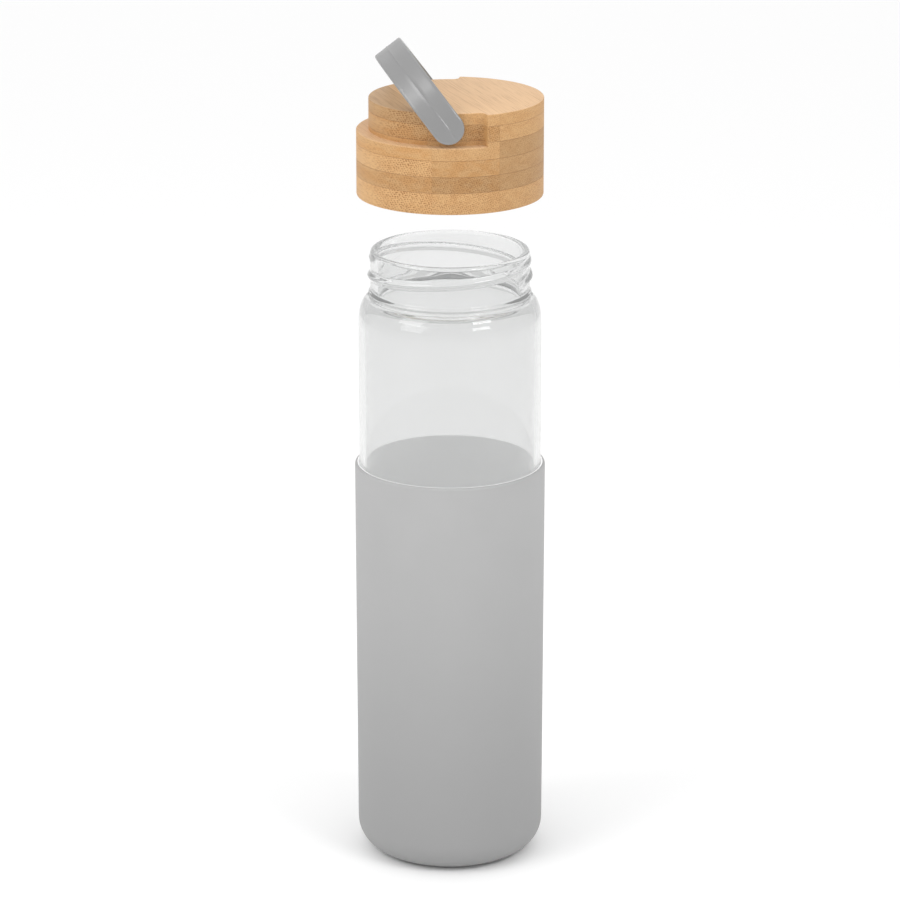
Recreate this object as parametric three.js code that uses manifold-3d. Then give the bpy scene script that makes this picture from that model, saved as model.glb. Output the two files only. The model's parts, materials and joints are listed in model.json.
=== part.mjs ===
// Glass water bottle with a silicone sleeve and a bamboo screw lid that has a carrying strap.
// Millimetres, +Z up. The origin is the centre of the sleeve's base, and the folded strap
// points to -X. The lid is shown unscrewed and lifted off, with its strap half raised.
import * as THREE from 'three';
import { mergeVertices } from 'three/addons/utils/BufferGeometryUtils.js';
import Module from 'manifold-3d';

const wasm = await Module();
wasm.setup();

// ---------------------------------------------------------------- driving dimensions

const FACETS = { round: 48, small: 24, corner: 5, threadTurn: 40, threadSection: 10 };

const GLASS = {
  radius: 35, innerRadius: 32.7, baseZ: 2.4, cornerRadius: 10.9,
  puntRadius: 20, puntHeight: 1.6, floorThickness: 5, innerCornerRadius: 9,
  shoulderZ: 214.5, shoulderHeight: 9.6, shoulderTopRadius: 31.2,
  innerShoulderZ: 213.5, innerShoulderHeight: 8.3, innerShoulderTopRadius: 28.8,
  neckRadius: 30.4, neckBlend: 0.8, innerNeckBlend: 1.2, mouthRadius: 27.6, mouthZ: 242.8,
  collarRadius: 31.2, collarZ: 226.1, collarHalfHeight: 1.1,
};

const SLEEVE = {
  baseRadius: 36.15, topRadius: 36.7, innerRadius: 35.12, topZ: 158.3,
  floorThickness: 2.3, cornerRadius: 12, innerCornerRadius: 11,
};

// Right-handed thread with equally spaced starts. The first start's helix has the height zAtX at
// +X. Angles are in degrees from +X, counter-clockwise from above.
const THREAD = { starts: 2, lead: 13.2, zAtX: 239.57, turnsToRemove: 3 };
const GLASS_BEAD = {
  radius: 1.25, pathRadius: 30.25, startDeg: -224, endDeg: 6, sunkRadius: 28.95, sinkDeg: 30,
};
const LINER_BEAD = { radius: 1.2, pathRadius: 31.95, startDeg: -200, endDeg: -50, below: 2.1 };

// Heights from here on are measured from the lid's underside.
const LID = {
  radius: 35.5, boreRadius: 33.5, boreDepth: 21.5, plyTops: [8.2, 14.3, 20.5, 27, 33, 37.5],
  glueGap: 0.04, edgeChamfer: 0.5,
};
const RECESS = { floorZ: 25.3, coreRadius: 30.8, endAngleDeg: 75.5, fillet: 2.5 };
const LINER = {
  radius: 33.35, innerRadius: 31.85, bottomZ: 0.6, ceilingZ: 20.1, topZ: 21.4,
  ridgeRadius: 31.2, ridgeZ: 17.2, ridgeHalfHeight: 0.2, ridgeSlope: 0.4,
};
const GASKET = { radius: 31.6, innerRadius: 27.6, bottomZ: 18.05, topZ: 20.05, edge: 0.4 };
const SEAL_HEIGHT = 18;

// The strap and its fittings are measured from the pivot, along the pivot's axis.
const PIVOT = { x: -5.8, z: 32.6, raisedDeg: 53.3 };
const STRAP = {
  outerRadius: 35.4, innerRadius: 32.4, width: 12, flatY: 31.05, flatReach: 6.4,
  bossRadius: 3.3, bossY: 30.55, holeEndY: 33.6,
};
const PIN = { radius: 1.5, innerY: 20.8, outerY: 33.4, chamfer: 0.3, strapClearance: 0.05 };
const BUSH = {
  boreRadius: 1.58, barrelRadius: 2.5, innerY: 20.3, flangeY: 29.6, faceY: 30.4,
  flangeRadius: 3.4, clearance: 0.05,
};
const SPOT_FACE = { radius: 3.6, y: 29.5 };
const BEYOND = 45; // past every surface of the lid

const closedLidZ = GLASS.mouthZ - SEAL_HEIGHT;
const raisedLidZ = closedLidZ + THREAD.turnsToRemove * THREAD.lead;
const lidHeight = LID.plyTops.at(-1);

// ---------------------------------------------------------------- materials

const finish = (color, roughness, extra = {}) =>
  new THREE.MeshStandardMaterial({ color, roughness, metalness: 0, ...extra });

const glass = () => finish(0xeef2f2, 0.05, { transparent: true, opacity: 0.35 });
const greySilicone = () => finish(0xb5b5b5, 0.6);
const clearSilicone = () => finish(0xe6e6e2, 0.5);
const bamboo = () => finish(0xd3a56c, 0.55);
const whitePolymer = () => finish(0xf0efe9, 0.4);
const steel = () => finish(0xc4c6c8, 0.3, { metalness: 1 });

// ---------------------------------------------------------------- geometry helpers

const point = (radius, z) => new THREE.Vector2(radius, z);

// Points of an elliptic arc in a profile, angles in degrees from the outward direction.
function arc(centreRadius, centreZ, radiusAcross, radiusUp, startDeg, endDeg) {
  return Array.from({ length: FACETS.corner + 1 }, (_, i) => {
    const angle = THREE.MathUtils.degToRad(startDeg + ((endDeg - startDeg) * i) / FACETS.corner);
    return point(centreRadius + radiusAcross * Math.cos(angle), centreZ + radiusUp * Math.sin(angle));
  });
}

// Closed surface to solid: shared vertices are merged and collapsed triangles dropped.
function toSolid(geometry) {
  geometry.deleteAttribute('normal');
  geometry.deleteAttribute('uv');
  const merged = mergeVertices(geometry);
  const corners = merged.index.array;
  const kept = [];
  for (let i = 0; i < corners.length; i += 3) {
    const [a, b, c] = corners.subarray(i, i + 3);
    if (a !== b && b !== c && c !== a) kept.push(a, b, c);
  }
  return new wasm.Manifold(new wasm.Mesh({
    numProp: 3,
    vertProperties: merged.attributes.position.array,
    triVerts: Uint32Array.from(kept),
  }));
}

function toGeometry(solid) {
  const { vertProperties, triVerts } = solid.getMesh();
  const geometry = new THREE.BufferGeometry();
  geometry.setAttribute('position', new THREE.BufferAttribute(vertProperties, 3));
  geometry.setIndex(new THREE.BufferAttribute(triVerts, 1));
  geometry.computeVertexNormals();
  return geometry;
}

function piece(name, solid, material) {
  const mesh = new THREE.Mesh(toGeometry(solid), material);
  mesh.name = name;
  return mesh;
}

// Solid turned about the Z axis.
const turned = (profile, facets = FACETS.round) =>
  toSolid(new THREE.LatheGeometry(profile, facets).rotateX(Math.PI / 2));

const turnedRing = (profile) => turned([...profile, profile[0]]);

// Solid turned about the Y axis, as the pivot's pins and bushes are.
const turnedAlongY = (profile) => toSolid(new THREE.LatheGeometry(profile, FACETS.small));

// Round bar along Y between two distances from the middle, on either side of it.
function bar(radius, nearY, farY, side = 1) {
  const geometry = new THREE.CylinderGeometry(radius, radius, farY - nearY, FACETS.small);
  return toSolid(geometry.translate(0, (side * (nearY + farY)) / 2, 0));
}

// Upright prism over an outline in X and Y.
function prism(outline, bottomZ, topZ) {
  const options = { depth: topZ - bottomZ, bevelEnabled: false, curveSegments: FACETS.round };
  return toSolid(new THREE.ExtrudeGeometry(outline, options).translate(0, 0, bottomZ));
}

// Centre line of a thread bead. The ends can dip to sunkRadius, inside the wall.
class BeadPath extends THREE.Curve {
  constructor(bead, zAtX) {
    super();
    this.bead = bead;
    this.zAtX = zAtX;
  }

  getPoint(t, target = new THREE.Vector3()) {
    const { startDeg, endDeg, pathRadius, sunkRadius = pathRadius, sinkDeg = 1 } = this.bead;
    const degrees = THREE.MathUtils.lerp(startDeg, endDeg, t);
    const fromEnd = Math.min(degrees - startDeg, endDeg - degrees);
    const rise = THREE.MathUtils.smoothstep(fromEnd, 0, sinkDeg);
    const radius = THREE.MathUtils.lerp(sunkRadius, pathRadius, rise);
    const angle = THREE.MathUtils.degToRad(degrees);
    const z = this.zAtX + (THREAD.lead * degrees) / 360;
    return target.set(radius * Math.cos(angle), radius * Math.sin(angle), z);
  }
}

function threadBead(bead, zAtX) {
  const section = new THREE.Shape().absarc(0, 0, bead.radius, 0, 2 * Math.PI);
  const steps = Math.round((FACETS.threadTurn * (bead.endDeg - bead.startDeg)) / 360);
  return toSolid(new THREE.ExtrudeGeometry(section, {
    steps,
    curveSegments: FACETS.threadSection,
    extrudePath: new BeadPath(bead, zAtX),
  }));
}

// The solid with one bead per start of the thread.
function withThread(solid, bead, zAtX) {
  const first = threadBead(bead, zAtX);
  let threaded = solid;
  for (let start = 0; start < THREAD.starts; start += 1) {
    threaded = threaded.add(first.rotate([0, 0, (360 * start) / THREAD.starts]));
  }
  return threaded;
}

// ---------------------------------------------------------------- bottle and sleeve

function glassBottle() {
  const g = GLASS;
  const floorZ = g.baseZ + g.floorThickness;
  const lip = (g.neckRadius - g.mouthRadius) / 2;
  const shoulderZ = g.shoulderZ + g.shoulderHeight;
  const outside = [
    ...arc(0, g.baseZ, g.puntRadius, g.puntHeight, 90, 0),
    ...arc(g.radius - g.cornerRadius, g.baseZ + g.cornerRadius, g.cornerRadius, g.cornerRadius, -90, 0),
    ...arc(g.shoulderTopRadius, g.shoulderZ, g.radius - g.shoulderTopRadius, g.shoulderHeight, 0, 90),
    point(g.neckRadius, shoulderZ + g.neckBlend),
    ...arc(g.neckRadius, g.collarZ, g.collarRadius - g.neckRadius, g.collarHalfHeight, -90, 90),
  ];
  const inside = [
    point(g.mouthRadius, g.innerShoulderZ + g.innerShoulderHeight + g.innerNeckBlend),
    ...arc(g.innerShoulderTopRadius, g.innerShoulderZ, g.innerRadius - g.innerShoulderTopRadius,
      g.innerShoulderHeight, 90, 0),
    ...arc(g.innerRadius - g.innerCornerRadius, floorZ + g.innerCornerRadius,
      g.innerCornerRadius, g.innerCornerRadius, 0, -90),
    point(0, floorZ),
  ];
  const lipArc = arc(g.mouthRadius + lip, g.mouthZ - lip, lip, lip, 0, 180);
  return withThread(turned([...outside, ...lipArc, ...inside]), GLASS_BEAD, THREAD.zAtX);
}

function siliconeSleeve() {
  const s = SLEEVE;
  const rim = (s.topRadius - s.innerRadius) / 2;
  return turned([
    point(0, 0),
    ...arc(s.baseRadius - s.cornerRadius, s.cornerRadius, s.cornerRadius, s.cornerRadius, -90, 0),
    ...arc(s.innerRadius + rim, s.topZ - rim, rim, rim, 0, 180),
    ...arc(s.innerRadius - s.innerCornerRadius, s.floorThickness + s.innerCornerRadius,
      s.innerCornerRadius, s.innerCornerRadius, 0, -90),
    point(0, s.floorThickness),
  ]);
}

// ---------------------------------------------------------------- lid

// Space beside the raised core where the folded strap lies, open to the side and the top.
function strapRecess() {
  const { coreRadius, fillet, floorZ } = RECESS;
  const start = THREE.MathUtils.degToRad(RECESS.endAngleDeg);
  const end = 2 * Math.PI - start;
  const blend = fillet / coreRadius;
  const at = (radius, angle) => [radius * Math.cos(angle), radius * Math.sin(angle)];
  const outline = new THREE.Shape()
    .moveTo(...at(BEYOND, start))
    .absarc(0, 0, BEYOND, start, end, false)
    .lineTo(...at(coreRadius + fillet, end))
    .quadraticCurveTo(...at(coreRadius, end), ...at(coreRadius, end - blend))
    .absarc(0, 0, coreRadius, end - blend, start + blend, true)
    .quadraticCurveTo(...at(coreRadius, start), ...at(coreRadius + fillet, start));
  return prism(outline, floorZ, BEYOND);
}

// Holes on both sides for the strap's bushes, each with a flat seat for the bush's flange.
function bushHoles() {
  const holes = [1, -1].map((side) => bar(BUSH.barrelRadius + BUSH.clearance, BUSH.innerY, BEYOND, side)
    .add(bar(SPOT_FACE.radius, SPOT_FACE.y, BEYOND, side)));
  return holes[0].add(holes[1]).translate([PIVOT.x, 0, PIVOT.z]);
}

// One horizontal layer of the glued bamboo block, before it is cut.
function plyBlank(bottomZ, topZ) {
  const chamferBelow = bottomZ === 0 ? LID.edgeChamfer : 0;
  const chamferAbove = topZ === lidHeight ? LID.edgeChamfer : 0;
  const edge = [
    point(LID.radius - chamferBelow, bottomZ),
    point(LID.radius, bottomZ + chamferBelow),
    point(LID.radius, topZ - chamferAbove),
    point(LID.radius - chamferAbove, topZ),
  ];
  const { boreRadius, boreDepth } = LID;
  if (topZ < boreDepth) return turnedRing([point(boreRadius, bottomZ), ...edge, point(boreRadius, topZ)]);
  if (bottomZ > boreDepth) return turned([point(0, bottomZ), ...edge, point(0, topZ)]);
  const bore = [point(0, boreDepth), point(boreRadius, boreDepth), point(boreRadius, bottomZ)];
  return turned([...bore, ...edge, point(0, topZ)]);
}

function bambooPlies() {
  const recess = strapRecess();
  const holes = bushHoles();
  return LID.plyTops.map((topZ, i) => {
    const bottomZ = i === 0 ? 0 : LID.plyTops[i - 1] + LID.glueGap;
    const ply = plyBlank(bottomZ, topZ).subtract(recess).subtract(holes);
    return piece(`bamboo_ply_${i + 1}`, ply, bamboo());
  });
}

function threadLiner() {
  const l = LINER;
  const ridgeBottom = l.ridgeZ - l.ridgeHalfHeight;
  const ridgeTop = l.ridgeZ + l.ridgeHalfHeight;
  const cup = turned([
    point(0, l.ceilingZ),
    point(l.innerRadius, l.ceilingZ),
    point(l.innerRadius, ridgeTop + l.ridgeSlope),
    point(l.ridgeRadius, ridgeTop),
    point(l.ridgeRadius, ridgeBottom),
    point(l.innerRadius, ridgeBottom - l.ridgeSlope),
    point(l.innerRadius, l.bottomZ),
    point(l.radius, l.bottomZ),
    point(l.radius, l.topZ),
    point(0, l.topZ),
  ]);
  return withThread(cup, LINER_BEAD, THREAD.zAtX - LINER_BEAD.below - closedLidZ);
}

function mouthGasket() {
  const g = GASKET;
  return turnedRing([
    point(g.innerRadius + g.edge, g.bottomZ),
    point(g.radius - g.edge, g.bottomZ),
    point(g.radius, g.bottomZ + g.edge),
    point(g.radius, g.topZ - g.edge),
    point(g.radius - g.edge, g.topZ),
    point(g.innerRadius + g.edge, g.topZ),
    point(g.innerRadius, g.topZ - g.edge),
    point(g.innerRadius, g.bottomZ + g.edge),
  ]);
}

// ---------------------------------------------------------------- carrying strap and its pivots

// Room inside the strap's ends, so that they clear the raised core as they turn.
function strapRelief() {
  const outline = new THREE.Shape()
    .moveTo(-STRAP.flatReach, -STRAP.flatY)
    .lineTo(BEYOND, -STRAP.flatY)
    .lineTo(BEYOND, STRAP.flatY)
    .lineTo(-STRAP.flatReach, STRAP.flatY);
  return prism(outline, -STRAP.width, STRAP.width);
}

// The folded strap is a band around the lid's axis, cut to a width with round ends at the pivot.
function handleStrap() {
  const s = STRAP;
  const half = s.width / 2;
  const band = turnedRing([
    point(s.innerRadius, -half),
    point(s.outerRadius, -half),
    point(s.outerRadius, half),
    point(s.innerRadius, half),
  ]).translate([-PIVOT.x, 0, 0]);
  const sideView = new THREE.Shape()
    .moveTo(-BEYOND, -half)
    .absarc(0, 0, half, -Math.PI / 2, Math.PI / 2, false)
    .lineTo(-BEYOND, half);
  const keep = prism(sideView, -BEYOND, BEYOND).rotate([90, 0, 0]);
  let strap = band.intersect(keep).subtract(strapRelief());
  for (const side of [1, -1]) {
    strap = strap.add(bar(s.bossRadius, s.bossY, s.innerRadius, side));
    strap = strap.subtract(bar(PIN.radius + PIN.strapClearance, 0, s.holeEndY, side));
  }
  return strap;
}

const pivotPin = () => turnedAlongY([
  point(0, PIN.innerY),
  point(PIN.radius - PIN.chamfer, PIN.innerY),
  point(PIN.radius, PIN.innerY + PIN.chamfer),
  point(PIN.radius, PIN.outerY - PIN.chamfer),
  point(PIN.radius - PIN.chamfer, PIN.outerY),
  point(0, PIN.outerY),
]);

const pivotBush = () => {
  const profile = [
    point(BUSH.boreRadius, BUSH.innerY + BUSH.clearance),
    point(BUSH.barrelRadius, BUSH.innerY + BUSH.clearance),
    point(BUSH.barrelRadius, BUSH.flangeY),
    point(BUSH.flangeRadius, BUSH.flangeY),
    point(BUSH.flangeRadius, BUSH.faceY),
    point(BUSH.boreRadius, BUSH.faceY),
  ];
  return turnedAlongY([...profile, profile[0]]);
};

// ---------------------------------------------------------------- assembly

const bottle = new THREE.Group();
bottle.add(piece('glass_bottle', glassBottle(), glass()));
bottle.add(piece('silicone_sleeve', siliconeSleeve(), greySilicone()));

const lid = new THREE.Group();
lid.position.z = raisedLidZ;
lid.add(...bambooPlies());
lid.add(piece('thread_liner', threadLiner(), whitePolymer()));
lid.add(piece('mouth_gasket', mouthGasket(), clearSilicone()));

const handle = new THREE.Group();
handle.position.set(PIVOT.x, 0, PIVOT.z);
handle.rotation.y = THREE.MathUtils.degToRad(PIVOT.raisedDeg);
handle.add(piece('handle_strap', handleStrap(), greySilicone()));
lid.add(handle);

for (const { name, turn } of [{ name: 'front', turn: Math.PI }, { name: 'rear', turn: 0 }]) {
  const pin = piece(`pivot_pin_${name}`, pivotPin(), steel());
  pin.rotation.x = turn;
  handle.add(pin);
  const bush = piece(`pivot_bush_${name}`, pivotBush(), whitePolymer());
  bush.rotation.x = turn;
  bush.position.set(PIVOT.x, 0, PIVOT.z);
  lid.add(bush);
}

const waterBottle = new THREE.Group();
waterBottle.add(bottle, lid);

export default waterBottle;
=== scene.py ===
"""Glass water bottle with a silicone sleeve and a bamboo screw lid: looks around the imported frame.

Lengths are in millimetres until a mesh is made, and heights on the lid are measured from its
underside. The floor, the lights and the camera are placed in metres. The lid is shown unscrewed,
above the mouth, with its strap half raised.
"""
import json
import math

import bmesh
import bpy
import numpy as np
from mathutils import Matrix, Vector


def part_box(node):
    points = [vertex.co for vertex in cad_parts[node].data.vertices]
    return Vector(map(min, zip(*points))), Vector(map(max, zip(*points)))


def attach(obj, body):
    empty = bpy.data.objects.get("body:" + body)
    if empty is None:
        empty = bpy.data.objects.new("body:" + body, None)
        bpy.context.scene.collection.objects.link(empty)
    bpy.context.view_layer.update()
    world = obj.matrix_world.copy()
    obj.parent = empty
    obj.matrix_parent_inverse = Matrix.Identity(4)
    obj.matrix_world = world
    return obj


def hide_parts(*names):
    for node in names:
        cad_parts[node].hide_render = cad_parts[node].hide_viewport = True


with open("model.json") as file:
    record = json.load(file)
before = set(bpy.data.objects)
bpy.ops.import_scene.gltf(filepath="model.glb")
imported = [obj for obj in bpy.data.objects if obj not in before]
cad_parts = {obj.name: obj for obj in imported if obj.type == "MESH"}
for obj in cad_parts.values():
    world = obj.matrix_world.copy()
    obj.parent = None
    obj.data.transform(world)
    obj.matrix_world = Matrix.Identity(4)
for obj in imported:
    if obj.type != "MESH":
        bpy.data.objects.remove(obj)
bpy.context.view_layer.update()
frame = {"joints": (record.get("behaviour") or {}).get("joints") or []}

MM = 0.001
PER_MM = (1000, 1000, 1000)  # scale that turns metres into millimetres
ROUND = 240  # points round a full turn


def low(node):
    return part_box(node)[0] / MM


def high(node):
    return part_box(node)[1] / MM


# ------------------------------------------------------------------ driving dimensions

glass_low, glass_high = low("glass_bottle"), high("glass_bottle")
sleeve_high = high("silicone_sleeve")
lid_z = low("bamboo_ply_1").z
lid_radius = high("bamboo_ply_1").x
ply_floors = [low(f"bamboo_ply_{i}").z - lid_z for i in range(1, 7)]
ply_tops = [high(f"bamboo_ply_{i}").z - lid_z for i in range(1, 7)]
lid_height = ply_tops[-1]
liner_low, liner_high = low("thread_liner"), high("thread_liner")
gasket_low, gasket_high = low("mouth_gasket"), high("mouth_gasket")

swing = next(j for j in frame["joints"] if j["name"] == "handle_swing")
pivot = Vector(swing["pos_m"]) / MM
RAISED = math.radians(-swing["range_deg"][0])  # how far the strap stands above its folded place

GLASS = {"radius": glass_high.x, "inner": 32.7, "corner": 10.9, "inner_corner": 9, "floor": 5,
         "punt": 1.6, "punt_radius": 20, "shoulder_z": 214.5, "shoulder_top": 31.2,
         "shoulder_rise": 9.6, "inner_shoulder_top": 28.8, "inner_shoulder_z": 213.5,
         "inner_shoulder_rise": 8.3, "neck": 30.4, "mouth": 27.6, "collar": 0.8,
         "collar_z": 226.1, "collar_half": 1.2}
# Two-start threads: the first bead's height at +X, and where it starts and ends in degrees.
THREAD = {"lead": 13.2, "z_at_x": 239.57, "start": -224, "end": 6, "height": 1.15,
          "half_width": 1.9, "fade": 34}
LINER_THREAD = {"lead": 13.2, "z_at_x": 12.67, "start": -200, "end": -50, "height": 1.0,
                "half_width": 1.5, "fade": 14}
SLEEVE = {"foot": 36.15, "top": sleeve_high.x, "inner": 35.12, "corner": 12, "inner_corner": 11,
          "floor": 2.3, "rim_outer": 1.15, "rim_inner": 0.35, "hollow": 0.35, "hollow_radius": 20,
          "hollow_slope": 0.6}
RECESS = {"floor": 25.3, "core": 30.8, "end": math.radians(75.5), "fillet": 2.5, "corner": 0.5}
CORNER_STEPS, FILLET_STEPS = 5, 8  # points round the recess's outer corner and inner fillet
BORE = {"radius": 33.5, "depth": 21.5}
# Eased edges of the lid. Two plies meet at a flush joint, which is sanded level.
EASE = {"underside": 0.5, "top": 0.45, "ledge": 0.35, "flush": 0.02}
LINER = {"inner": 31.85, "ceiling": 20.1, "ridge_z": 17.2, "ridge": 0.65, "ridge_half": 0.6,
         "ceiling_ease": 0.5, "mouth_ease": 0.4, "edge": 0.2, "top_edge": 0.3}
GASKET = {"inner": 27.6, "edge": 0.45}
STRAP = {"outer": 35.35, "inner": 32.45, "width": 12, "edge": 0.8, "flat_y": 31.1,
         "flat_reach": 6.4, "flat_fade": 3, "boss": 3.3, "boss_edge": 0.2, "boss_y": 30.6,
         "boss_root": 0.4, "pin_gap": 0.06, "line": 0.14, "line_half": 0.2}
# Distances from the strap's middle line at which its two faces have a row of points.
STRAP_ROWS = (0, 0.1, 0.2, 0.35, 1.4, 2.8, 4.0, 4.8)
PIN = {"radius": 1.5, "inner_y": 20.8, "outer_y": 33.4, "edge": 0.3}
BUSH = {"bore": 1.58, "barrel": 2.5, "flange": 3.4, "inner_y": 20.35, "flange_y": 29.6,
        "face_y": 30.4, "edge": 0.12}

# The bamboo strips run at this angle from the Y axis; their joints lie at these distances.
GRAIN_ANGLE = math.radians(-9)
STRIP_SEAMS = (-17.0, 8.4)

# Greys and bamboo colours are display values between 0 and 255.
SLEEVE_GREY = {"tone": 170, "roughness": 0.72, "shine": 0.4}
STRAP_GREY = {"tone": 129, "roughness": 0.27, "shine": 0.95}
PAINTED_FOOT_SHADE = 20  # how much darker the sleeve is painted at its foot, a painted shade
PAINTED_INNER_GLOW = {"tone": 232, "glow": 0.43, "reach": 0.6}  # painted light on the cup's inside, a paler tone and a glow; reach is how far this painted highlight goes onto the rim
BAMBOO = {"pale": (199, 160, 112), "base": (190, 147, 98), "warm_base": (190, 142, 88),
          "brown": (128, 82, 42), "painted_sheen": (226, 192, 155)}
# Scales of the bamboo's noises across, along and up the strip, for each millimetre.
GRAIN = {"fibre": (2.6, 0.045, 2.6), "band": (0.22, 0.008, 0.45), "crowd": (0.16, 0.02, 0.5),
         "drift": (0.3, 0.05, 0.0)}
# Bundles of fibres: how dense and uneven their rows are, how the rows lean and drift, and the
# radius of the smallest and the largest bundle as a share of their spacing.
BUNDLES = {"density": 1.25, "uneven": 0.5, "lean": 0.4, "tilt": -0.3, "drift": 0.8,
           "smallest": 0.22, "largest": 0.33, "soft_edge": 0.1, "faintest": 0.6}
STREAKS, PAINTED_SHEEN_SHARE = 0.42, 0.6  # how strong the streaks are, and how much paler the level faces are painted, a painted sheen of the bright sky above
SEAM_LINE = {"half": 0.2, "strength": 0.22}  # glue between two strips
PLY_LINE = {"half": 0.22, "strength": 0.25}  # glue between two plies
GLASS_TINT = (0.872, 0.875, 0.874, 1)
# What the glass takes up for each metre of its depth, and the painted glow it gives for each metre,
# though it is no lamp.
GLASS_DEPTH = {"absorbed": 16.0, "spared": (0, 0.02, 0.01, 1), "painted_glass_glow": 6.0}


# ------------------------------------------------------------------ mesh helpers

def arc(centre_r, centre_z, across, up, start_deg, end_deg, steps=12):
    """Points of an elliptic arc in a profile of (radius, height)."""
    angles = np.radians(np.linspace(start_deg, end_deg, steps + 1))
    return [(centre_r + across * math.cos(a), centre_z + up * math.sin(a)) for a in angles]


def line(start, end, steps):
    """Points between two profile points, without the two points themselves."""
    shares = np.linspace(0, 1, steps + 1)[1:-1]
    return [(start[0] + (end[0] - start[0]) * s, start[1] + (end[1] - start[1]) * s) for s in shares]


def make_object(name, vertices, faces, sharp_deg=40):
    """Mesh object from points in millimetres, with its doubles merged and its faces outward."""
    mesh = bpy.data.meshes.new(name)
    mesh.from_pydata([tuple(v) for v in np.asarray(vertices, float) * MM], [], faces)
    grid = bmesh.new()
    grid.from_mesh(mesh)
    bmesh.ops.remove_doubles(grid, verts=grid.verts, dist=1e-7)
    bmesh.ops.dissolve_degenerate(grid, edges=grid.edges, dist=1e-8)
    bmesh.ops.recalc_face_normals(grid, faces=grid.faces)
    grid.to_mesh(mesh)
    grid.free()
    mesh.shade_smooth()
    mesh.set_sharp_from_angle(angle=math.radians(sharp_deg))
    obj = bpy.data.objects.new(name, mesh)
    bpy.context.scene.collection.objects.link(obj)
    return obj


def strips(rows, columns, wrap_columns=True, wrap_rows=False):
    """Quads between neighbouring rows of a grid of points."""
    faces = []
    last_row = rows if wrap_rows else rows - 1
    last_column = columns if wrap_columns else columns - 1
    for i in range(last_row):
        a, b = i * columns, ((i + 1) % rows) * columns
        for j in range(last_column):
            k = (j + 1) % columns
            faces.append((a + j, a + k, b + k, b + j))
    return faces


def turned(name, profile, shape=None, closed=False, points=ROUND, sharp_deg=40):
    """Profile turned about Z. shape(angle, radius, height, row) may change the radius."""
    angles = np.linspace(0, 2 * math.pi, points, endpoint=False)
    rows = []
    for row, (radius, z) in enumerate(profile):
        radii = np.full(points, float(radius))
        if shape is not None and radius > 0:
            radii = shape(angles, radii, z, row)
        heights = np.full(points, z)
        rows.append(np.stack([radii * np.cos(angles), radii * np.sin(angles), heights], 1))
    return make_object(name, np.concatenate(rows), strips(len(rows), points, wrap_rows=closed), sharp_deg)


def bead_height(thread, angles, z):
    """Height of a two-start thread above its wall, at each angle, at one height z. Every other
    half turn along the helix belongs to the second bead."""
    total = np.zeros_like(angles)
    for half_turns in range(-5, 1):
        degrees = np.degrees(angles) + 180 * half_turns
        centre = thread["z_at_x"] + thread["lead"] * degrees / 360
        away = np.clip(np.abs(z - centre) / thread["half_width"], 0, 1)
        inside = np.minimum(degrees - thread["start"], thread["end"] - degrees) / thread["fade"]
        fade = np.clip(inside, 0, 1)
        fade = fade * fade * (3 - 2 * fade)
        total = np.maximum(total, thread["height"] * fade * (1 - away**2) ** 1.6)
    return total


def join(name, parts):
    """One object from several, keeping the first one's name."""
    bpy.ops.object.select_all(action="DESELECT")
    for part in parts:
        part.select_set(True)
    bpy.context.view_layer.objects.active = parts[0]
    bpy.ops.object.join()
    parts[0].name = name
    return parts[0]


# ------------------------------------------------------------------ material helpers

def srgb(*values):
    """Linear colour from display values between 0 and 255."""
    scaled = [v / 255 for v in values]
    return [v / 12.92 if v <= 0.04045 else ((v + 0.055) / 1.055) ** 2.4 for v in scaled] + [1.0]


def grey(tone):
    return srgb(tone, tone, tone)


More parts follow.
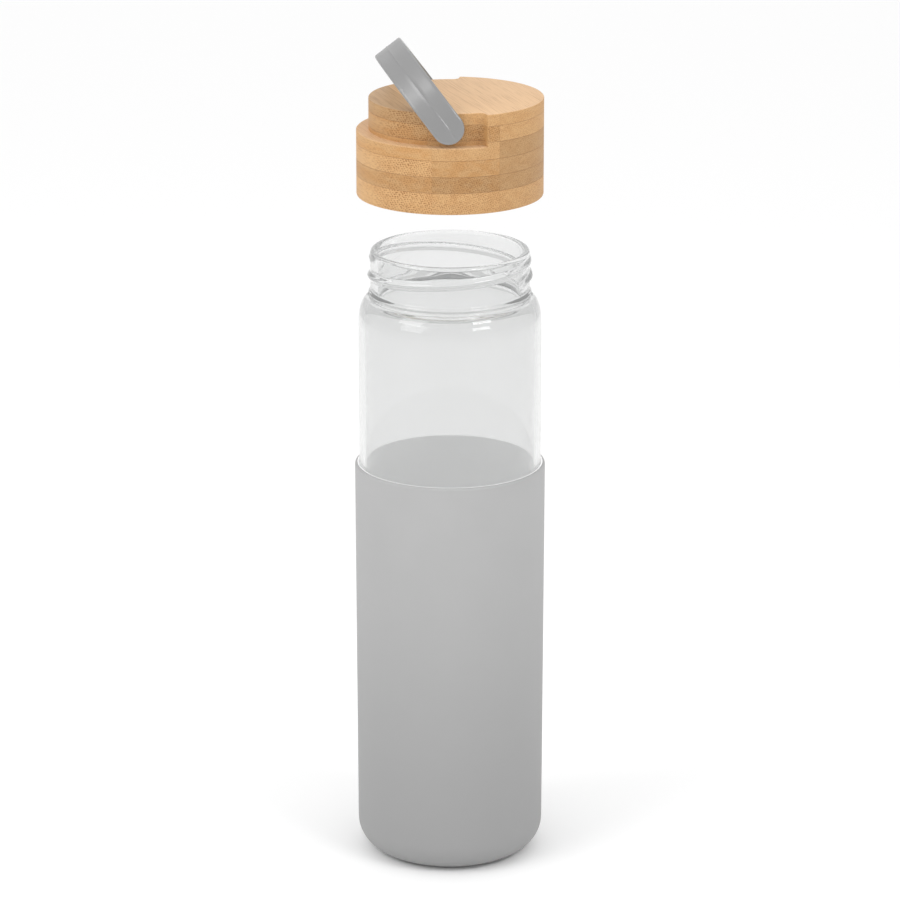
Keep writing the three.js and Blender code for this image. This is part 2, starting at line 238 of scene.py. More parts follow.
class Nodes:
    """Short names for building one material's node tree."""

    def __init__(self, name):
        self.material = bpy.data.materials.new(name)
        self.material.use_nodes = True
        self.tree = self.material.node_tree
        self.shader = self.tree.nodes["Principled BSDF"]

    def add(self, kind, inputs=None, **settings):
        node = self.tree.nodes.new(kind)
        for key, value in settings.items():
            setattr(node, key, value)
        for key, value in (inputs or {}).items():
            self.feed(node.inputs[key], value)
        return node

    def feed(self, socket, value):
        if isinstance(value, bpy.types.NodeSocket):
            self.tree.links.new(value, socket)
        else:
            socket.default_value = value

    def set(self, **inputs):
        for key, value in inputs.items():
            self.feed(self.shader.inputs[key.replace("_", " ")], value)

    def math(self, operation, first, second=0.0, third=0.0):
        node = self.add("ShaderNodeMath", {0: first, 1: second, 2: third}, operation=operation)
        return node.outputs[0]

    def mix(self, share, first, second):
        node = self.add("ShaderNodeMix", {0: share, 6: first, 7: second}, data_type="RGBA")
        return node.outputs[2]

    def blend(self, share, first, second):
        node = self.add("ShaderNodeMix", {0: share, 2: first, 3: second}, data_type="FLOAT")
        return node.outputs[0]

    def combine(self, x, y, z):
        return self.add("ShaderNodeCombineXYZ", {0: x, 1: y, 2: z}).outputs[0]

    def scaled(self, value, factor, offset=0.0):
        return self.math("MULTIPLY_ADD", value, factor, offset)

    def ramp(self, value, low_end, high_end, to_low=0.0, to_high=1.0):
        node = self.add("ShaderNodeMapRange",
                        {0: value, 1: low_end, 2: high_end, 3: to_low, 4: to_high})
        node.interpolation_type = "SMOOTHSTEP"
        return node.outputs[0]

    def vector(self, operation, *inputs):
        return self.add("ShaderNodeVectorMath", dict(enumerate(inputs)), operation=operation)

    def length(self, x, y):
        return self.vector("LENGTH", self.combine(x, y, 0.0)).outputs["Value"]

    def split(self, vector):
        return self.add("ShaderNodeSeparateXYZ", {0: vector}).outputs

    def place(self, scale=(1, 1, 1), turn=0.0):
        """Object coordinates in metres, turned about Z and then scaled."""
        where = self.add("ShaderNodeTexCoord").outputs["Object"]
        turned_place = self.add("ShaderNodeVectorRotate", {"Vector": where, "Angle": turn},
                                rotation_type="Z_AXIS").outputs[0]
        return self.vector("MULTIPLY", turned_place, scale).outputs[0]

    def noise(self, place, scale, detail=2.0, roughness=0.5):
        return self.add("ShaderNodeTexNoise", {"Vector": place, "Scale": scale, "Detail": detail,
                                               "Roughness": roughness}).outputs["Fac"]

    def bump(self, height, strength, distance):
        return self.add("ShaderNodeBump", {"Height": height, "Strength": strength,
                                           "Distance": distance}).outputs[0]


def dress(obj, material, slot, body, *nodes):
    """Material, body and replaced CAD nodes of one piece. The slot argument is not used."""
    obj.data.materials.clear()
    obj.data.materials.append(material)
    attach(obj, body)
    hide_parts(*nodes)
    return obj


# ------------------------------------------------------------------ materials

def clear_glass():
    """Clear glass with faint waves, which are longer along the bottle than round it. Its depth takes up
    light and glows with a painted light, which lifts light caught in the wall to a middle grey."""
    n = Nodes("clear_glass")
    waves = n.noise(n.place((1, 1, 0.35)), 55.0, 1.0)
    n.set(Base_Color=GLASS_TINT, Roughness=0.0, IOR=1.48, Transmission_Weight=1.0,
          Normal=n.bump(waves, 0.08, 0.0006))
    taken = n.add("ShaderNodeVolumeAbsorption",
                  {"Color": GLASS_DEPTH["spared"], "Density": GLASS_DEPTH["absorbed"]})
    # Painted light: the glass glows inside though it is no lamp.
    painted_glass_glow = n.add("ShaderNodeEmission", {"Color": (1, 1, 1, 1), "Strength": GLASS_DEPTH["painted_glass_glow"]})
    both = n.add("ShaderNodeAddShader", {0: taken.outputs[0], 1: painted_glass_glow.outputs[0]})
    n.feed(n.tree.nodes["Material Output"].inputs["Volume"], both.outputs[0])
    return n.material


def painted_glow_mask(n, cup, x, y, z):
    """Mask of the painted light: 1 on the inside of a cup with a rounded inner corner, and 0 on its
    outside.
    """
    corner = cup["inner_corner"]
    out = n.math("MAXIMUM", n.math("SUBTRACT", n.length(x, y), cup["inner"] - corner), 0.0)
    down = n.math("MAXIMUM", n.math("SUBTRACT", cup["floor"] + corner, z), 0.0)
    return n.math("LESS_THAN", n.length(out, down), corner + PAINTED_INNER_GLOW["reach"])


def grey_silicone(name, look, cup=None):
    """Matte moulded silicone: an even grey, a fine eggshell surface and faint cloudiness. A cup is
    painted a little darker towards its foot, a painted shade. Its inside is painted paler and glows,
    a painted light that stands in for the light that comes through the thin wall."""
    n = Nodes(name)
    tone, roughness = look["tone"], look["roughness"]
    cloud = n.noise(n.place(), 38.0, 3.0)
    grain = n.noise(n.place(), 5200.0, 2.0)
    colour = n.mix(n.ramp(cloud, 0.3, 0.7), grey(tone - 1), grey(tone + 1))
    if cup:
        x, y, z = n.split(n.place(PER_MM))
        inside = painted_glow_mask(n, cup, x, y, z)
        # Painted shade: the cup gets darker towards its foot.
        painted_shade_to_foot = n.ramp(z, 0.0, sleeve_high.z, 1.0, 0.0)
        colour = n.mix(inside, n.mix(painted_shade_to_foot, colour, grey(tone - PAINTED_FOOT_SHADE)), grey(PAINTED_INNER_GLOW["tone"]))
        # Painted light: the cup's inside and the inner edge of its rim emit light, though they are no
        # lamp.
        n.set(Emission_Color=(1, 1, 1, 1),
              Emission_Strength=n.math("MULTIPLY", inside, PAINTED_INNER_GLOW["glow"]))
    n.set(Base_Color=colour,
          Roughness=n.ramp(cloud, 0.2, 0.8, roughness - 0.03, roughness + 0.03),
          Normal=n.bump(grain, 0.12, 0.00004), Sheen_Weight=0.05, Sheen_Roughness=0.6,
          Specular_IOR_Level=look["shine"])
    return n.material


def clear_silicone():
    n = Nodes("clear_silicone")
    cloud = n.noise(n.place(), 90.0, 2.0)
    n.set(Base_Color=n.mix(cloud, srgb(226, 226, 220), srgb(238, 238, 234)), Roughness=0.42,
          Subsurface_Weight=0.3, Subsurface_Scale=0.002,
          Normal=n.bump(n.noise(n.place(), 3000.0), 0.08, 0.00004))
    return n.material


def white_polymer():
    n = Nodes("white_polymer")
    cloud = n.noise(n.place(), 70.0, 2.0)
    n.set(Base_Color=n.mix(cloud, srgb(232, 231, 225), srgb(240, 239, 234)),
          Roughness=n.ramp(cloud, 0.2, 0.8, 0.34, 0.44),
          Normal=n.bump(n.noise(n.place(), 4000.0), 0.1, 0.00003))
    return n.material


def turned_steel():
    n = Nodes("turned_steel")
    rings = n.noise(n.place((300, 9000, 300)), 1.0, 2.0)
    n.set(Base_Color=n.mix(rings, srgb(176, 178, 181), srgb(205, 206, 208)), Metallic=1.0,
          Roughness=n.ramp(rings, 0.3, 0.7, 0.22, 0.36), Normal=n.bump(rings, 0.1, 0.00002))
    return n.material


def stretched(n, place, scales, offset=0.0):
    """Place across, along and up the strip, scaled for one noise and moved by an offset."""
    across, along, up = place
    return n.combine(n.scaled(across, scales[0]), n.scaled(along, scales[1]),
                     n.scaled(up, scales[2], offset))


def fibre_bundles(n, place, offset):
    """Specks where bundles of fibres are cut across. They lie in leaning, uneven rows."""
    b = BUNDLES
    across, _, up = place
    drift = n.noise(stretched(n, place, GRAIN["drift"], offset), 1.0, 1.0)
    leaning = n.math("MULTIPLY_ADD", drift, b["drift"], n.scaled(up, b["lean"], across))
    section = n.combine(leaning, n.scaled(across, b["tilt"], up), 0.0)
    cells = n.add("ShaderNodeTexVoronoi",
                  {"Vector": section, "Scale": b["density"], "Randomness": b["uneven"]},
                  voronoi_dimensions="2D")
    crowd = n.noise(stretched(n, place, GRAIN["crowd"]), 1.0)
    size = n.ramp(crowd, 0.3, 0.7, b["smallest"], b["largest"])
    depth = n.math("SUBTRACT", size, cells.outputs["Distance"])
    speck = n.ramp(depth, -b["soft_edge"], b["soft_edge"])
    tint = n.add("ShaderNodeSeparateColor", {0: cells.outputs["Color"]}).outputs[0]
    return n.math("MULTIPLY", speck, n.ramp(tint, 0.0, 1.0, b["faintest"], 1.0))


def bamboo_strip(n, place, faces, look, number):
    """Colour and height of one strip. place is across, along and up, in millimetres, and faces is
    how far the surface is cut across the grain and how far it is level. Bundles of fibres show as
    specks on a cut end and as streaks along the strip."""
    cut_end, level = faces
    tone, dots, warm = look
    offset = 7.3 * number
    speck = n.math("MULTIPLY", fibre_bundles(n, place, offset), cut_end)
    fibre = n.noise(stretched(n, place, GRAIN["fibre"], offset), 1.0, 3.0, 0.65)
    band = n.noise(stretched(n, place, GRAIN["band"], offset), 1.0, 2.0, 0.5)
    colours = {key: srgb(*[c * tone for c in value]) for key, value in BAMBOO.items()}
    base = colours["warm_base" if warm else "base"]
    ground = n.mix(n.ramp(band, 0.35, 0.65, 0.15, 0.65), base, colours["pale"])
    # Painted sheen: faces that look up are painted paler, as if lit by the bright sky.
    ground = n.mix(n.math("MULTIPLY", level, PAINTED_SHEEN_SHARE), ground, colours["painted_sheen"])
    streak = n.math("MULTIPLY", n.ramp(fibre, 0.46, 0.72), STREAKS)
    ground = n.mix(streak, ground, colours["brown"])
    colour = n.mix(n.math("MULTIPLY", speck, dots), ground, colours["brown"])
    height = n.math("SUBTRACT", n.math("MULTIPLY", fibre, 0.5), n.math("MULTIPLY", speck, 0.5))
    return colour, height


def glue_line(n, value, level, size):
    """How much glue shows: all of it at the level, and none at the line's half width from it."""
    away = n.math("ABSOLUTE", n.math("SUBTRACT", value, level))
    return n.ramp(away, 0.0, size["half"], size["strength"], 0.0)


def bamboo(index, looks):
    """One ply: three strips side by side, each with its own (tone, dots, warm), and thin lines
    of glue between the strips and between the plies."""
    n = Nodes(f"bamboo_{index + 1}")
    place = n.split(n.place(PER_MM, GRAIN_ANGLE))
    across, up = place[0], place[2]
    facing = n.add("ShaderNodeTexCoord").outputs["Normal"]
    grain = (math.sin(GRAIN_ANGLE), math.cos(GRAIN_ANGLE), 0.0)
    along_grain = n.math("ABSOLUTE", n.vector("DOT_PRODUCT", facing, grain).outputs["Value"])
    faces = n.ramp(along_grain, 0.2, 0.6), n.ramp(n.split(facing)[2], 0.5, 0.9)
    parts = [bamboo_strip(n, place, faces, look, index * 3 + k) for k, look in enumerate(looks)]
    colour, height = parts[0]
    glue = 0.0
    for seam, (next_colour, next_height) in zip(STRIP_SEAMS, parts[1:]):
        past = n.math("GREATER_THAN", across, seam)
        colour = n.mix(past, colour, next_colour)
        height = n.blend(past, height, next_height)
        glue = n.math("MAXIMUM", glue, glue_line(n, across, seam, SEAM_LINE))
    for edge in (ply_floors[index], ply_tops[index]):
        if 0 < edge < lid_height:
            glue = n.math("MAXIMUM", glue, glue_line(n, up, lid_z + edge, PLY_LINE))
    n.set(Base_Color=n.mix(glue, colour, srgb(*BAMBOO["brown"])),
          Roughness=n.ramp(height, 0.0, 0.6, 0.62, 0.46), Normal=n.bump(height, 0.35, 0.00012),
          Specular_IOR_Level=0.35)
    return n.material


# ------------------------------------------------------------------ bottle and sleeve

def glass_bottle():
    g = GLASS
    base, mouth_z = glass_low.z, glass_high.z
    floor_z = base + g["floor"]
    lip = (g["neck"] - g["mouth"]) / 2
    shoulder_end = g["shoulder_z"] + g["shoulder_rise"]
    fillet, inner_fillet = g["shoulder_top"] - g["neck"], g["inner_shoulder_top"] - g["mouth"]
    inner_end = g["inner_shoulder_z"] + g["inner_shoulder_rise"]
    neck_start = (g["neck"], shoulder_end + fillet + 0.1)
    neck_end = (g["neck"], mouth_z - lip)
    below = [
        *arc(0, base, g["punt_radius"], g["punt"], 90, 0),
        *arc(g["radius"] - g["corner"], base + g["corner"], g["corner"], g["corner"], -90, 0),
        *line((g["radius"], base + g["corner"]), (g["radius"], g["shoulder_z"]), 30),
        *arc(g["shoulder_top"], g["shoulder_z"], g["radius"] - g["shoulder_top"],
             g["shoulder_rise"], 0, 90, 20)[:-1],
        *arc(g["shoulder_top"], shoulder_end + fillet, fillet, fillet, 270, 180, 5),
    ]
    neck = [neck_start, *line(neck_start, neck_end, 66)]
    above = [
        *arc(g["mouth"] + lip, mouth_z - lip, lip, lip, 0, 180, 14),
        *line((g["mouth"], mouth_z - lip), (g["mouth"], inner_end + inner_fillet), 8),
        *arc(g["inner_shoulder_top"], inner_end + inner_fillet, inner_fillet, inner_fillet, 180, 270, 6),
        *arc(g["inner_shoulder_top"], g["inner_shoulder_z"], g["inner"] - g["inner_shoulder_top"],
             g["inner_shoulder_rise"], 90, 0, 18)[1:],
        *line((g["inner"], g["inner_shoulder_z"]), (g["inner"], floor_z + g["inner_corner"]), 30),
        *arc(g["inner"] - g["inner_corner"], floor_z + g["inner_corner"],
             g["inner_corner"], g["inner_corner"], 0, -90, 12),
        (0, floor_z),
    ]
    first, last = len(below), len(below) + len(neck)

    def shape(angles, radii, z, row):
        if not first <= row < last:
            return radii
        away = min(1.0, abs(z - g["collar_z"]) / g["collar_half"])
        collar = g["collar"] * (1 - away**2) ** 1.5
        return radii + np.maximum(bead_height(THREAD, angles, z), collar)

    return turned("glass_body", below + neck + above, shape, sharp_deg=60)


def silicone_sleeve():
    s = SLEEVE
    top = sleeve_high.z
    outer, inner = s["rim_outer"], s["rim_inner"]
    wall_top = (s["top"], top - outer)
    wall_foot = (s["foot"], s["corner"])
    inner_foot = (s["inner"], s["floor"] + s["inner_corner"])
    profile = [
        (0, s["hollow"]), (s["hollow_radius"], s["hollow"]),
        (s["hollow_radius"] + s["hollow_slope"], 0.0),
        *arc(s["foot"] - s["corner"], s["corner"], s["corner"], s["corner"], -90, 0, 16),
        *line(wall_foot, wall_top, 24),
        *arc(s["top"] - outer, top - outer, outer, outer, 0, 90, 10),
        *arc(s["inner"] + inner, top - inner, inner, inner, 90, 180, 6),
        *line((s["inner"], top - inner), inner_foot, 16),
        *arc(s["inner"] - s["inner_corner"], inner_foot[1], s["inner_corner"],
             s["inner_corner"], 0, -90, 10),
        (0, s["floor"]),
    ]
    return turned("sleeve", profile, sharp_deg=60)


# ------------------------------------------------------------------ lid

def ring_ply(index):
    """A ply that is bored right through for the liner."""
    bottom, top = ply_floors[index], ply_tops[index]
    ease = EASE["underside"] if index == 0 else EASE["flush"]
    flush = EASE["flush"]
    profile = [
        (BORE["radius"], bottom), (lid_radius - ease, bottom),
        (lid_radius - 0.3 * ease, bottom + 0.3 * ease), (lid_radius, bottom + ease),
        (lid_radius, top - flush), (lid_radius - flush, top), (BORE["radius"], top),
    ]
    profile = [(r, z + lid_z) for r, z in profile]
    return turned(f"ply_{index + 1}", profile, closed=True, sharp_deg=30)


def core_outline():
    """Outline of the lid above the recess: the raised core and the full-width side."""
    end, core, fillet, corner = RECESS["end"], RECESS["core"], RECESS["fillet"], RECESS["corner"]
    slip = corner / lid_radius
    blend = fillet / core
    side = [(lid_radius, a) for a in np.linspace(0, end - slip, 60)]
    for t in np.linspace(0, math.pi / 2, CORNER_STEPS + 1)[1:]:
        side.append((lid_radius - corner * (1 - math.cos(t)), end - slip * (1 - math.sin(t))))
    side.append((core + fillet, end))
    for t in np.linspace(0, math.pi / 2, FILLET_STEPS + 1)[1:]:
        side.append((core + fillet * (1 - math.sin(t)), end + blend * (1 - math.cos(t))))
    side += [(core, a) for a in np.linspace(end + blend, math.pi, 80)[1:]]
    half = [(r * math.cos(a), r * math.sin(a)) for r, a in side]
    return np.array(half + [(x, -y) for x, y in half[-2:0:-1]])


def circle_beside(outline):
    """Points on the lid's circle, one for each outline point, spread evenly past the corner."""
    angles = np.unwrap(np.arctan2(outline[:, 1], outline[:, 0]))
    radii = np.hypot(outline[:, 0], outline[:, 1])
    stepped = radii < lid_radius - 1e-6
    half = len(outline) // 2 + 1
    first = int(np.argmax(stepped))
    last = first + CORNER_STEPS + 1 + FILLET_STEPS
    angles[first:last] = np.linspace(angles[first - 1], angles[last], last - first + 2)[1:-1]
    angles[half:] = 2 * math.pi - angles[1:half - 1][::-1]
    return np.stack([lid_radius * np.cos(angles), lid_radius * np.sin(angles)], 1)


def inset(outline, distance):
    """Outline moved inwards by a small distance."""
    along = np.roll(outline, -1, 0) - np.roll(outline, 1, 0)
    along /= np.linalg.norm(along, axis=1)[:, None]
    return outline + distance * np.stack([-along[:, 1], along[:, 0]], 1)


def lofted(name, rings, sharp_deg=30):
    """Skin through rings of equal point count, closed by flat caps."""
    count = len(rings[0][0])
    vertices = [np.column_stack([points, np.full(count, z + lid_z)]) for points, z in rings]
    faces = strips(len(rings), count)
    faces.append(tuple(range(count))[::-1])
    faces.append(tuple((len(rings) - 1) * count + k for k in range(count)))
    return make_object(name, np.concatenate(vertices), faces, sharp_deg)


def ledge_ply():
    """The ply that carries the recess's floor, with the liner's seat bored into its underside."""
    bottom, top, ledge = ply_floors[3], ply_tops[3], RECESS["floor"]
    flush, ease = EASE["flush"], EASE["ledge"]
    outline = core_outline()
    circle = circle_beside(outline)
    bore = circle * (BORE["radius"] / lid_radius)
    past_corner = lid_radius - RECESS["corner"] - 0.1
    stepped = (np.hypot(outline[:, 0], outline[:, 1]) < past_corner)[:, None]
    eased = np.where(stepped, circle * (1 - ease / lid_radius), circle)
    rings = [
        (bore, BORE["depth"]), (bore, bottom), (circle * (1 - flush / lid_radius), bottom),
        (circle, bottom + flush), (circle, ledge - ease),
        (np.where(stepped, circle * 0.3 + eased * 0.7, circle), ledge - 0.1),
        (eased, ledge), (outline, ledge), (outline, top - flush), (inset(outline, flush), top),
    ]
    return lofted("ply_4", rings)


def core_ply(index):
    bottom, top = ply_floors[index], ply_tops[index]
    outline = core_outline()
    flush = EASE["flush"]
    ease = EASE["top"] if top == lid_height else flush
    rings = [(inset(outline, flush), bottom), (outline, bottom + flush), (outline, top - ease)]
    rings += [(inset(outline, ease * (1 - math.cos(t))), top - ease * (1 - math.sin(t)))
              for t in np.linspace(0, math.pi / 2, 6)[1:]]
    return lofted(f"ply_{index + 1}", rings)


def thread_liner():
    ln = LINER
    bottom, top = liner_low.z, liner_high.z
    outer, inner = liner_high.x, ln["inner"]
    ceiling, ridge = lid_z + ln["ceiling"], lid_z + ln["ridge_z"]
    beside_ridge = ln["ridge_half"] + 0.1
    ease, mouth = ln["ceiling_ease"], ln["mouth_ease"]
    wall_start, wall_end = (inner, ridge - beside_ridge), (inner, bottom + mouth)
    profile = [
        (0, ceiling), (inner - ease, ceiling), (inner - 0.3 * ease, ceiling - 0.3 * ease),
        (inner, ceiling - ease), (inner, ridge + beside_ridge),
        *arc(inner, ridge, ln["ridge"], ln["ridge_half"], 90, 270, 8), wall_start,
        *line(wall_start, wall_end, 70), wall_end, (inner + 0.15, bottom + 0.1),
        (inner + mouth, bottom), (outer - ln["edge"], bottom), (outer, bottom + ln["edge"]),
        (outer, top - ln["top_edge"]), (outer - ln["top_edge"], top), (0, top),
    ]
    first = profile.index(wall_start)
    last = profile.index(wall_end)

    def shape(angles, radii, z, row):
        if first <= row <= last:
            return radii - bead_height(LINER_THREAD, angles, z - lid_z)
        return radii

    return turned("liner", profile, shape, sharp_deg=50)


def mouth_gasket():
    outer, bottom, top = gasket_high.x, gasket_low.z, gasket_high.z
    inner, edge = GASKET["inner"], GASKET["edge"]
    profile = [
        *arc(outer - edge, bottom + edge, edge, edge, -90, 0, 6),
        *arc(outer - edge, top - edge, edge, edge, 0, 90, 6),
        *arc(inner + edge, top - edge, edge, edge, 90, 180, 6),
        *arc(inner + edge, bottom + edge, edge, edge, 180, 270, 6),
    ]
    return turned("gasket", profile, closed=True, sharp_deg=60)


# ------------------------------------------------------------------ strap and pivots

def turned_about_pivot(name, profile, side, body_turn=0.0):
    """Profile of (radius, distance from the middle) turned about the strap's pivot axis."""
    obj = turned(name, profile, closed=profile[0][0] > 0, points=64, sharp_deg=35)
    obj.data.transform(Matrix.Rotation(-side * math.pi / 2, 4, "X"))
    obj.data.transform(Matrix.Rotation(body_turn, 4, "Y"))
    obj.data.transform(Matrix.Translation(pivot * MM))
    return obj


def pivot_pin(name, side):
    radius, inner_end, outer_end, edge = PIN["radius"], PIN["inner_y"], PIN["outer_y"], PIN["edge"]
    profile = [(0, inner_end), *arc(radius - edge, inner_end + edge, edge, edge, -90, 0, 3),
               *arc(radius - edge, outer_end - edge, edge, edge, 0, 90, 3), (0, outer_end)]
    return turned_about_pivot(name, profile, side, RAISED)


def pivot_bush(name, side):
    b, edge = BUSH, BUSH["edge"]
    profile = [
        (b["bore"], b["inner_y"] + edge), (b["bore"] + edge, b["inner_y"]),
        (b["barrel"] - edge, b["inner_y"]), (b["barrel"], b["inner_y"] + edge),
        (b["barrel"], b["flange_y"]), (b["flange"] - edge, b["flange_y"]),
        (b["flange"], b["flange_y"] + edge), (b["flange"], b["face_y"] - edge),
        (b["flange"] - edge, b["face_y"]), (b["bore"] + edge, b["face_y"]),
        (b["bore"], b["face_y"] - edge),
    ]
    return turned_about_pivot(name, profile, side)


def strap_point(along, across, radius, flat_y=None):
    """Point of the folded strap: distance along its middle line from the front pivot, distance
    across it, and radius from the lid's axis."""
    middle = (STRAP["outer"] + STRAP["inner"]) / 2
    start = 2 * math.pi - math.acos(pivot.x / middle)
    angle = start - along / middle
    x, y = radius * math.cos(angle), radius * math.sin(angle)
    if flat_y is not None:
        past = (x - pivot.x + STRAP["flat_reach"]) / STRAP["flat_fade"] + 1
        fade = min(1.0, max(0.0, past))
        y = math.copysign(max(abs(y), flat_y * fade + abs(y) * (1 - fade)), y)
    return x, y, across


def stadium(length, half, points=40):
    """Loop of a strip with round ends: distances along and across."""
    turns = np.linspace(-math.pi / 2, math.pi / 2, 25)
    loop = [(length + half * math.cos(t), half * math.sin(t)) for t in turns]
    loop += [(a, half) for a in np.linspace(length, 0, points + 1)[1:-1]]
    loop += [(-half * math.cos(t), -half * math.sin(t)) for t in turns]
    loop += [(a, -half) for a in np.linspace(0, length, points + 1)[1:-1]]
    return loop


def strap_rings(length):
    """Loops of points from the middle of the strap's outer face, round its edge, to the middle of
    its inner face."""
    s = STRAP
    half, edge = s["width"] / 2, s["edge"]
    flat_rows = [half - row for row in STRAP_ROWS]
    rounding = [edge * (1 - math.sin(t)) for t in np.linspace(0, math.pi / 2, 6)]
    near_middle = half - STRAP_ROWS[-1]

    def drop(gap):
        return edge - math.sqrt(max(0.0, edge**2 - max(0.0, edge - gap) ** 2))

    def outside(gap, across):
        line_height = s["line"] * math.exp(-(across / s["line_half"]) ** 2)
        return s["outer"] - drop(gap) + (line_height if gap > near_middle else 0.0)

    def inside(gap, across):
        return s["inner"] + drop(gap)

    def rows(radius_at, flat_y, gaps):
        for gap in gaps:
            loop = stadium(length, half - gap)
            yield [strap_point(a, b, radius_at(gap, b), flat_y) for a, b in loop]

    return [*rows(outside, None, flat_rows + rounding),
            *rows(inside, s["flat_y"], rounding[::-1] + flat_rows[::-1])]


def strap_boss(name, side):
    """Low round pad on the inner face of the strap's end, round the pin."""
    s = STRAP
    bore, rim, edge = PIN["radius"] + s["pin_gap"], s["boss"], s["boss_edge"]
    face, root = s["boss_y"], s["flat_y"] + s["boss_root"]
    profile = [(bore, face), (rim - edge, face), (rim, face + edge), (rim, root), (bore, root)]
    return turned_about_pivot(name, profile, side, RAISED)


def handle_strap():
    """The strap is shaped folded, and then turned up about its pivot."""
    middle = (STRAP["outer"] + STRAP["inner"]) / 2
    rings = strap_rings(middle * (2 * math.pi - 2 * math.acos(pivot.x / middle)))
    faces = strips(len(rings), len(rings[0]))
    obj = make_object("strap", np.array(rings).reshape(-1, 3), faces, 60)
    obj.data.transform(Matrix.Translation(-Vector((pivot.x, 0, 0)) * MM))
    obj.data.transform(Matrix.Rotation(RAISED, 4, "Y"))
    obj.data.transform(Matrix.Translation(pivot * MM))
    return join("strap", [obj, strap_boss("boss_front", -1), strap_boss("boss_rear", 1)])


# ------------------------------------------------------------------ build

silicone = grey_silicone("sleeve_silicone", SLEEVE_GREY, SLEEVE)
strap_silicone = grey_silicone("strap_silicone", STRAP_GREY)
polymer, steel = white_polymer(), turned_steel()

dress(glass_bottle(), clear_glass(), "clear_glass", "bottle", "glass_bottle")
dress(silicone_sleeve(), silicone, "grey_silicone", "bottle", "silicone_sleeve")

# Bottom ply to top ply, and in each the strip at -X to the strip at +X: tone, share of the dots
# and whether the colour is warmer.
PLY_LOOKS = [
    [(1.05, 0.9, 0), (1.04, 0.65, 0), (1.02, 0.5, 0)],
    [(0.97, 0.55, 1), (0.92, 0.6, 1), (0.93, 0.5, 0)],
    [(1.05, 0.75, 0), (0.99, 0.3, 1), (0.94, 0.25, 0)],
    [(1.02, 0.25, 1), (1.02, 0.3, 0), (0.93, 0.25, 0)],
    [(0.97, 0.85, 1), (0.97, 0.75, 1), (1.02, 0.3, 0)],
    [(0.92, 0.8, 0), (1.04, 0.3, 0), (1.03, 0.3, 0)],
]
for i, looks in enumerate(PLY_LOOKS):
    ply = ring_ply(i) if i < 3 else ledge_ply() if i == 3 else core_ply(i)
    dress(ply, bamboo(i, looks), "bamboo", "lid", f"bamboo_ply_{i + 1}")

dress(thread_liner(), polymer, "white_polymer", "lid", "thread_liner")
dress(mouth_gasket(), clear_silicone(), "clear_silicone", "seal", "mouth_gasket")
dress(handle_strap(), strap_silicone, "grey_silicone", "handle", "handle_strap")
for end_name, side in (("front", -1), ("rear", 1)):
    dress(pivot_pin(f"pin_{end_name}", side), steel, "steel", "handle", f"pivot_pin_{end_name}")
    dress(pivot_bush(f"bush_{end_name}", side), polymer, "white_polymer", "lid",
          f"pivot_bush_{end_name}")


# ------------------------------------------------------------------ stage, light and camera

FLOOR_SIZE, FLOOR_WHITE = 16, 0.96
SKY_AT_HORIZON, SKY_ABOVE = 0.75, 1.05
CAMERA = {"azimuth": math.radians(-8.7), "distance": 1.6, "height": 0.6519,
          "pitch": math.radians(17.01), "lens": 173.28, "sensor": 36}
LIGHTS = {
    "left_softbox": {"azimuth_deg": -54, "distance": 0.9, "height": 0.82, "size": (0.58, 0.62),
                     "radiance": 3.0, "aim": (0, 0.26)},
    "right_softbox": {"azimuth_deg": 46, "distance": 0.9, "height": 0.86, "size": (0.44, 0.26),
                      "radiance": 7.5, "aim": (0, 0.26)},
    "background_light": {"azimuth_deg": 180, "distance": 2.9, "height": 1.8, "size": (3.6, 2.0),
                         "radiance": 0.16, "aim": (2.9, 0.0)},
}


def floor():
    bpy.ops.mesh.primitive_grid_add(x_subdivisions=8, y_subdivisions=8, size=FLOOR_SIZE)
    obj = bpy.context.object
    obj.name = "floor"
    n = Nodes("pale_floor")
    n.set(Base_Color=(*[FLOOR_WHITE] * 3, 1), Roughness=0.9, Specular_IOR_Level=0.1)
    obj.data.materials.append(n.material)


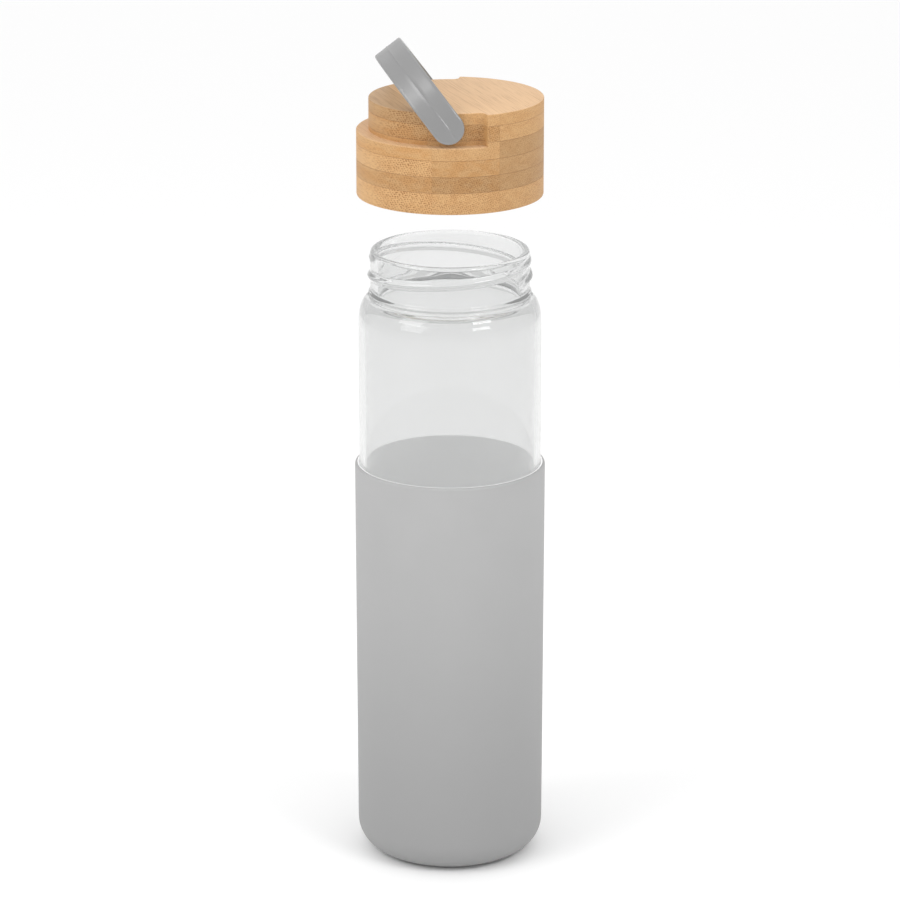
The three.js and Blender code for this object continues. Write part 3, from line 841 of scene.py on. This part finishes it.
def sky():
    """Even studio light: bright above, dimmer towards the horizon."""
    world = bpy.data.worlds.new("studio")
    world.use_nodes = True
    nodes, links = world.node_tree.nodes, world.node_tree.links
    where = nodes.new("ShaderNodeTexCoord")
    split = nodes.new("ShaderNodeSeparateXYZ")
    strength = nodes.new("ShaderNodeMapRange")
    strength.interpolation_type = "SMOOTHSTEP"
    strength.inputs["To Min"].default_value = SKY_AT_HORIZON
    strength.inputs["To Max"].default_value = SKY_ABOVE
    links.new(where.outputs["Generated"], split.inputs[0])
    links.new(split.outputs["Z"], strength.inputs["Value"])
    nodes["Background"].inputs["Color"].default_value = (1, 1, 1, 1)
    links.new(strength.outputs[0], nodes["Background"].inputs["Strength"])
    bpy.context.scene.world = world


def from_camera_side(azimuth, distance, height):
    """Place at a distance from the bottle's axis, at an azimuth counted from the camera's side."""
    angle = CAMERA["azimuth"] + azimuth
    return Vector((math.sin(angle) * distance, -math.cos(angle) * distance, height))


def softbox(name, azimuth_deg, distance, height, size, radiance, aim):
    """Rectangular light. It is aimed at a point so far behind the bottle and so high."""
    light = bpy.data.lights.new(name, "AREA")
    light.shape = "RECTANGLE"
    light.size, light.size_y = size
    light.energy = radiance * math.pi * size[0] * size[1]
    obj = bpy.data.objects.new(name, light)
    obj.location = from_camera_side(math.radians(azimuth_deg), distance, height)
    target = from_camera_side(0.0, -aim[0], aim[1])
    obj.rotation_euler = (target - obj.location).to_track_quat("-Z", "Y").to_euler()
    obj.visible_camera = False
    bpy.context.scene.collection.objects.link(obj)


def camera():
    data = bpy.data.cameras.new("camera")
    data.lens, data.sensor_width = CAMERA["lens"], CAMERA["sensor"]
    obj = bpy.data.objects.new("camera", data)
    obj.location = from_camera_side(0.0, CAMERA["distance"], CAMERA["height"])
    obj.rotation_euler = (math.pi / 2 - CAMERA["pitch"], 0, CAMERA["azimuth"])
    bpy.context.scene.collection.objects.link(obj)
    bpy.context.scene.camera = obj


floor()
sky()
for light_name, settings in LIGHTS.items():
    softbox(light_name, **settings)
camera()
bpy.context.scene.view_settings.view_transform = "Standard"
# Light has to pass many surfaces to get through the neck's threads.
light_paths = bpy.context.scene.cycles
light_paths.max_bounces = light_paths.transmission_bounces = 24
light_paths.glossy_bounces = 16
